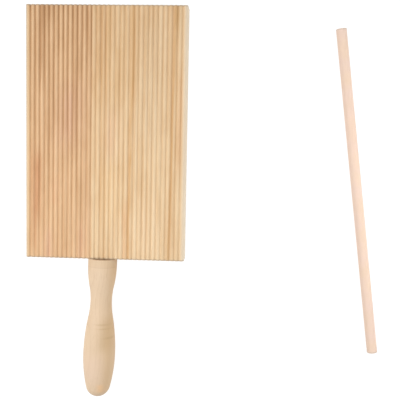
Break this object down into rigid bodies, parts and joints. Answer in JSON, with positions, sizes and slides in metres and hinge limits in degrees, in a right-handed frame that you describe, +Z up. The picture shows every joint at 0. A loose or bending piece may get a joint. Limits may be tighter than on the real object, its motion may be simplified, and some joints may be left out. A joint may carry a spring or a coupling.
{
  "type": "gnocchi board",
  "caption": "Wooden gnocchi board with a ridged face for rolling pasta dough, a turned handle on a glued pin, and a loose round rolling stick.",
  "frame": {"origin": "on the table plane, at the centre of the footprint of the board, its handle and the rolling stick as they lie in the picture", "axes": "+Z up from the table, +Y from the handle towards the far end of the board, +X from the board towards the stick; the board itself tilts 1.1 degrees about X, because it lies on the handle's belly and its own far lower edge"},
  "size_m": [0.2806, 0.309, 0.0257],
  "materials": {
    "board_wood_left": "bare softwood, planed and moulded, the redder of the two staves",
    "board_wood_right": "bare softwood, planed and moulded, the paler of the two staves",
    "handle_wood": "bare turned hardwood, fine sanded",
    "pin_wood": "bare fluted hardwood pin",
    "stick_wood": "bare pale hardwood dowel, fine sanded"
  },
  "bodies": {
    "board": {"stave_left": "board_wood_left", "stave_right": "board_wood_right", "handle": "handle_wood", "handle_dowel": "pin_wood"},
    "rolling_stick": {"rolling_stick": "stick_wood"}
  },
  "joints": [
    {"name": "stick_lift", "type": "slide", "parent": "board", "child": "rolling_stick", "axis": [0, 0, 1], "range_m": [0, 0.12]}
  ]
}
